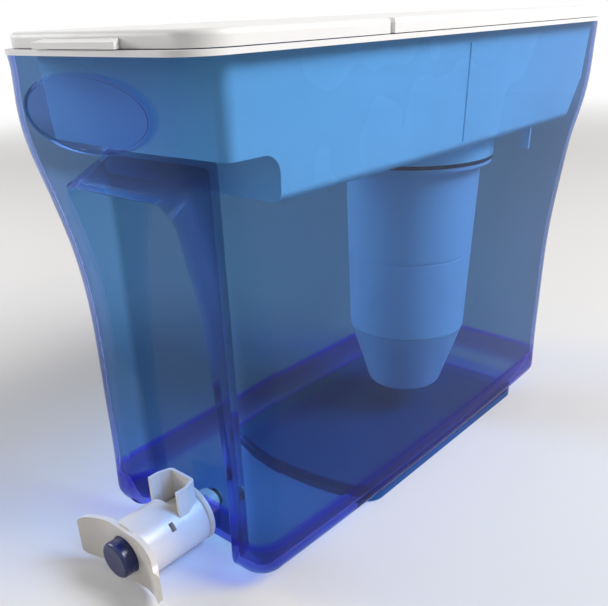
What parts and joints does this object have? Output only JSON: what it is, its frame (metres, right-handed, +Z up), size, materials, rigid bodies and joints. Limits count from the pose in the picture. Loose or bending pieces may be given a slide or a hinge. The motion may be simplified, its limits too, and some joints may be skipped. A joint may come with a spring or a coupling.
{
  "type": "water_filter_dispenser",
  "caption": "Countertop water filter dispenser: clear blue tank, hanging blue hopper with filter cup, white lid with fill door, white push-button tap",
  "frame": {"origin": "underside of the base plinth, on the tank's upright centre line", "axes": "X across the width, +Y from the tap end to the rear, +Z up"},
  "size_m": [0.1394, 0.3977, 0.2648],
  "materials": {
    "tank_blue": "clear blue, polished",
    "hopper_blue": "translucent light blue, polished",
    "white": "white, satin",
    "navy": "navy, satin",
    "filter_white": "white, satin",
    "seal_dark": "dark, matt",
    "seal_blue": "pale blue, satin",
    "valve_cream": "cream, matt",
    "foam": "open foam",
    "resin": "packed grains",
    "mesh": "fine woven mesh",
    "steel": "drawn wire"
  },
  "bodies": {
    "reservoir": {"reservoir_body": "tank_blue", "tap_valve_body": "valve_cream", "tap_outer_washer": "seal_blue", "tap_inner_washer": "seal_blue", "tap_nut": "white", "sleeve_ring_seal": "seal_dark", "sleeve_snap_ring": "steel"},
    "hopper_body": {"hopper": "hopper_blue", "rim_frame": "white"},
    "lid": {"rear_lid": "white", "door_hinge_pins": "steel"},
    "door": {"fill_door": "white"},
    "filter": {"filter_cup": "filter_white", "filter_lower_cap": "filter_white", "filter_top_cap": "filter_white", "filter_inlet_grille": "filter_white", "filter_seal_ring": "seal_dark", "filter_foam_pad": "foam", "filter_resin_bed": "resin", "filter_outlet_screen": "mesh"},
    "tap": {"tap_sleeve": "white"},
    "plunger": {"tap_button": "navy", "plunger_stem": "valve_cream", "valve_seal": "seal_dark", "valve_seal_retainer": "valve_cream", "tap_spring": "steel"}
  },
  "joints": [
    {"name": "hopper_lift", "type": "slide", "parent": "reservoir", "child": "hopper_body", "axis": [0, 0, 1], "range_m": [0, 0.24]},
    {"name": "lid_lift", "type": "slide", "parent": "hopper_body", "child": "lid", "axis": [0, 0, 1], "range_m": [0, 0.05]},
    {"name": "fill_door_hinge", "type": "hinge", "parent": "lid", "child": "door", "pos_m": [0, -0.072, 0.2617], "axis": [-1, 0, 0], "range_deg": [0, 100]},
    {"name": "filter_turn", "type": "hinge", "parent": "hopper_body", "child": "filter", "pos_m": [0, 0.0575, 0.197], "axis": [0, 0, 1], "range_deg": [0, 90]},
    {"name": "tap_turn", "type": "hinge", "parent": "reservoir", "child": "tap", "pos_m": [0, -0.18, 0.0185], "axis": [0, 1, 0], "range_deg": [0, 180]},
    {"name": "valve_press", "type": "slide", "parent": "tap", "child": "plunger", "axis": [0, 1, 0], "range_m": [0, 0.005], "stiffness_N_per_m": 700, "springref_m": -0.004, "deforming": ["tap_spring"]}
  ]
}
